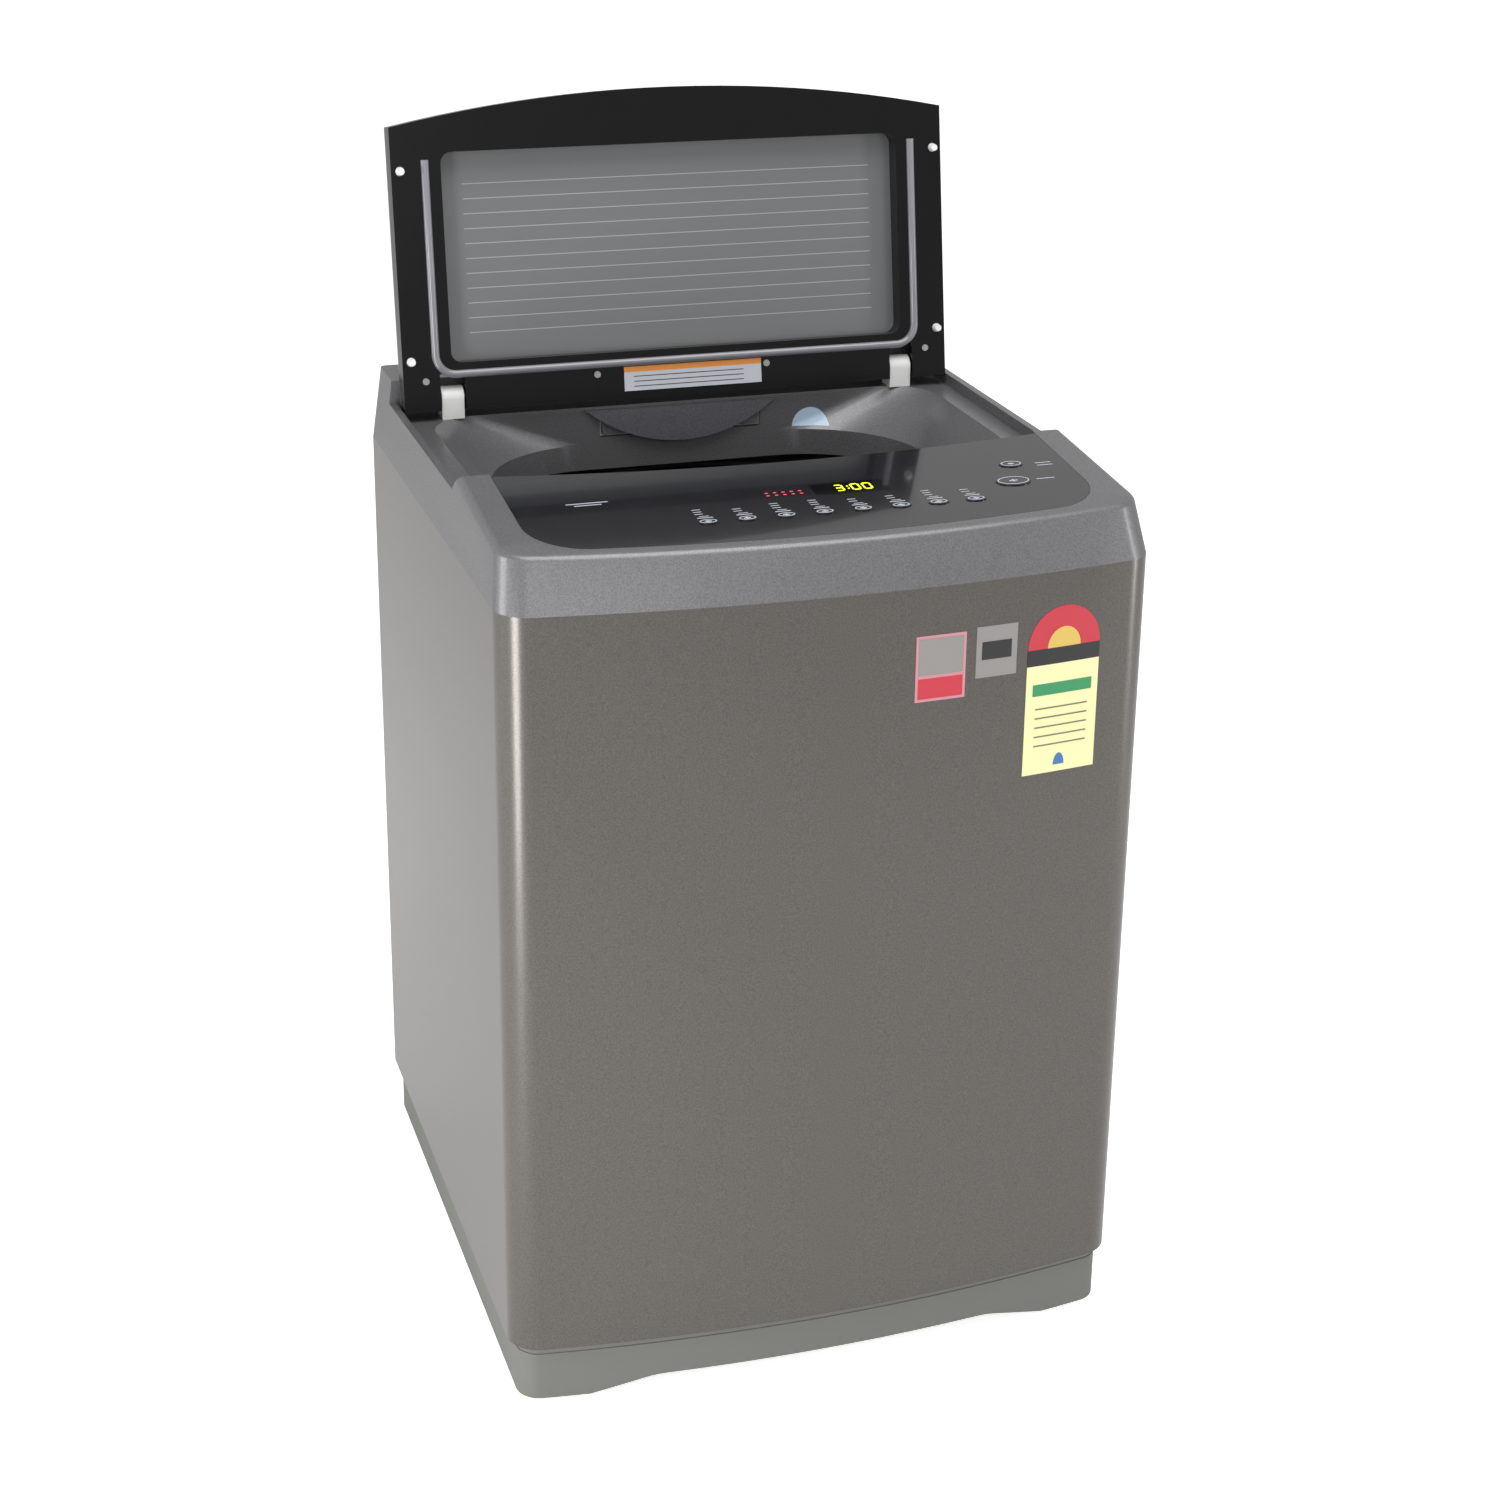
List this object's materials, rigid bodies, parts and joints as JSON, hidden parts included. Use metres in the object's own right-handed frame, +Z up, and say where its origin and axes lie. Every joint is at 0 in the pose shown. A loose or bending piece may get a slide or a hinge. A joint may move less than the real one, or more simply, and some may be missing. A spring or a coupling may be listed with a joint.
{
  "type": "top load washing machine",
  "caption": "Top load washing machine with a bowed front, hinged glass lid, sloping key panel, sprung tub, spinning basket and belt-driven pulsator.",
  "frame": {"origin": "on the floor under the middle of the cabinet", "axes": "+Z up, front towards -Y, +X to the right when facing the front; the lid is stored open"},
  "size_m": [0.54, 0.5688, 1.0206],
  "materials": {
    "painted_steel": "satin warm grey paint",
    "base_plastic": "fine textured light grey moulding",
    "rubber": "matt black",
    "zinc_steel": "zinc plated",
    "cover_plastic": "semi-gloss metallic grey moulding",
    "piano_black": "polished black",
    "display": "smoked window",
    "board": "green circuit board",
    "white_nylon": "white nylon",
    "white_plastic": "off-white moulding",
    "lid_glass": "tinted, with a line pattern",
    "stainless": "brushed stainless",
    "silver_plastic": "silver metallic moulding",
    "tub_plastic": "grey polypropylene",
    "cast_alloy": "as cast",
    "motor_paint": "black enamel",
    "spring_steel": "oiled spring steel",
    "key_cap": "gloss black key"
  },
  "bodies": {
    "cabinet": {"base_frame": "base_plastic", "rear_feet": "rubber", "foot_lock_nuts": "zinc_steel", "cabinet_wrap": "painted_steel", "rear_cover": "zinc_steel", "cord_gland": "rubber", "cabinet_screws": "zinc_steel", "top_cover": "cover_plastic", "control_panel": "piano_black", "display_window": "display", "control_board": "board", "hinge_knuckles": "white_nylon", "hinge_pins": "zinc_steel", "lid_lock": "white_nylon", "dispenser_housing": "white_plastic", "inlet_valve": "white_plastic", "drain_outlet": "tub_plastic", "drain_bellows": "rubber", "suspension_brackets": "zinc_steel", "suspension_rods": "zinc_steel", "suspension_springs": "spring_steel"},
    "front_left_foot": {"front_foot_left": "rubber"},
    "front_right_foot": {"front_foot_right": "rubber"},
    "lid": {"lid_inner_tray": "piano_black", "lid_outer_skin": "cover_plastic", "lid_glass": "lid_glass", "lid_drip_bead": "piano_black", "lid_bumpers": "white_nylon", "lid_screws": "zinc_steel"},
    "drawer": {"dispenser_drawer": "silver_plastic"},
    "tub": {"outer_tub": "tub_plastic", "tub_ring": "tub_plastic", "support_plate": "zinc_steel", "gearbox_housing": "cast_alloy", "spin_bearings": "zinc_steel", "shaft_seal": "rubber", "drive_motor": "motor_paint", "drive_belt": "rubber", "drain_valve": "white_plastic"},
    "drum": {"basket": "stainless", "basket_floor": "stainless", "spin_shaft": "zinc_steel", "balance_ring": "silver_plastic", "lint_filters": "white_plastic"},
    "wash_drive": {"pulsator": "silver_plastic", "pulsator_cap": "silver_plastic", "wash_shaft": "zinc_steel", "driven_pulley": "cast_alloy"},
    "motor_rotor": {"motor_pulley": "cast_alloy"},
    "program_key_1_body": {"program_key_1": "key_cap"},
    "program_key_2_body": {"program_key_2": "key_cap"},
    "program_key_3_body": {"program_key_3": "key_cap"},
    "program_key_4_body": {"program_key_4": "key_cap"},
    "program_key_5_body": {"program_key_5": "key_cap"},
    "program_key_6_body": {"program_key_6": "key_cap"},
    "program_key_7_body": {"program_key_7": "key_cap"},
    "program_key_8_body": {"program_key_8": "key_cap"},
    "start_key_body": {"start_key": "key_cap"},
    "power_key_body": {"power_key": "key_cap"}
  },
  "joints": [
    {"name": "lid_hinge", "type": "hinge", "parent": "cabinet", "child": "lid", "pos_m": [0, 0.19, 0.758], "axis": [1, 0, 0], "range_deg": [0, 99]},
    {"name": "drawer_slide", "type": "slide", "parent": "cabinet", "child": "drawer", "axis": [0, -1, 0], "range_m": [0, 0.05]},
    {"name": "tub_bounce", "type": "slide", "parent": "cabinet", "child": "tub", "axis": [0, 0, 1], "range_m": [-0.025, 0], "stiffness_N_per_m": 14000, "springref_m": 0.026, "deforming": ["suspension_springs", "drain_bellows"]},
    {"name": "drum_spin", "type": "hinge", "parent": "tub", "child": "drum", "pos_m": [0, 0.02, 0.4], "axis": [0, 0, 1], "continuous": true},
    {"name": "pulsator_spin", "type": "hinge", "parent": "tub", "child": "wash_drive", "pos_m": [0, 0.02, 0.25], "axis": [0, 0, 1], "continuous": true},
    {"name": "motor_spin", "type": "hinge", "parent": "tub", "child": "motor_rotor", "pos_m": [0.128, -0.07, 0.106], "axis": [0, 0, 1], "continuous": true},
    {"name": "left_foot_screw", "type": "slide", "parent": "cabinet", "child": "front_left_foot", "axis": [0, 0, -1], "range_m": [0, 0.012]},
    {"name": "right_foot_screw", "type": "slide", "parent": "cabinet", "child": "front_right_foot", "axis": [0, 0, -1], "range_m": [0, 0.012]},
    {"name": "program_key_1_press", "type": "slide", "parent": "cabinet", "child": "program_key_1_body", "axis": [0, 0.1045, -0.9945], "range_m": [0, 0.001], "stiffness_N_per_m": 600, "springref_m": -0.001},
    {"name": "program_key_2_press", "type": "slide", "parent": "cabinet", "child": "program_key_2_body", "axis": [0, 0.1045, -0.9945], "range_m": [0, 0.001], "stiffness_N_per_m": 600, "springref_m": -0.001},
    {"name": "program_key_3_press", "type": "slide", "parent": "cabinet", "child": "program_key_3_body", "axis": [0, 0.1045, -0.9945], "range_m": [0, 0.001], "stiffness_N_per_m": 600, "springref_m": -0.001},
    {"name": "program_key_4_press", "type": "slide", "parent": "cabinet", "child": "program_key_4_body", "axis": [0, 0.1045, -0.9945], "range_m": [0, 0.001], "stiffness_N_per_m": 600, "springref_m": -0.001},
    {"name": "program_key_5_press", "type": "slide", "parent": "cabinet", "child": "program_key_5_body", "axis": [0, 0.1045, -0.9945], "range_m": [0, 0.001], "stiffness_N_per_m": 600, "springref_m": -0.001},
    {"name": "program_key_6_press", "type": "slide", "parent": "cabinet", "child": "program_key_6_body", "axis": [0, 0.1045, -0.9945], "range_m": [0, 0.001], "stiffness_N_per_m": 600, "springref_m": -0.001},
    {"name": "program_key_7_press", "type": "slide", "parent": "cabinet", "child": "program_key_7_body", "axis": [0, 0.1045, -0.9945], "range_m": [0, 0.001], "stiffness_N_per_m": 600, "springref_m": -0.001},
    {"name": "program_key_8_press", "type": "slide", "parent": "cabinet", "child": "program_key_8_body", "axis": [0, 0.1045, -0.9945], "range_m": [0, 0.001], "stiffness_N_per_m": 600, "springref_m": -0.001},
    {"name": "start_key_press", "type": "slide", "parent": "cabinet", "child": "start_key_body", "axis": [0, 0.1045, -0.9945], "range_m": [0, 0.001], "stiffness_N_per_m": 600, "springref_m": -0.001},
    {"name": "power_key_press", "type": "slide", "parent": "cabinet", "child": "power_key_body", "axis": [0, 0.1045, -0.9945], "range_m": [0, 0.001], "stiffness_N_per_m": 600, "springref_m": -0.001}
  ],
  "couplings": [
    {"joint": "motor_spin", "follows": "pulsator_spin", "ratio": 4}
  ]
}
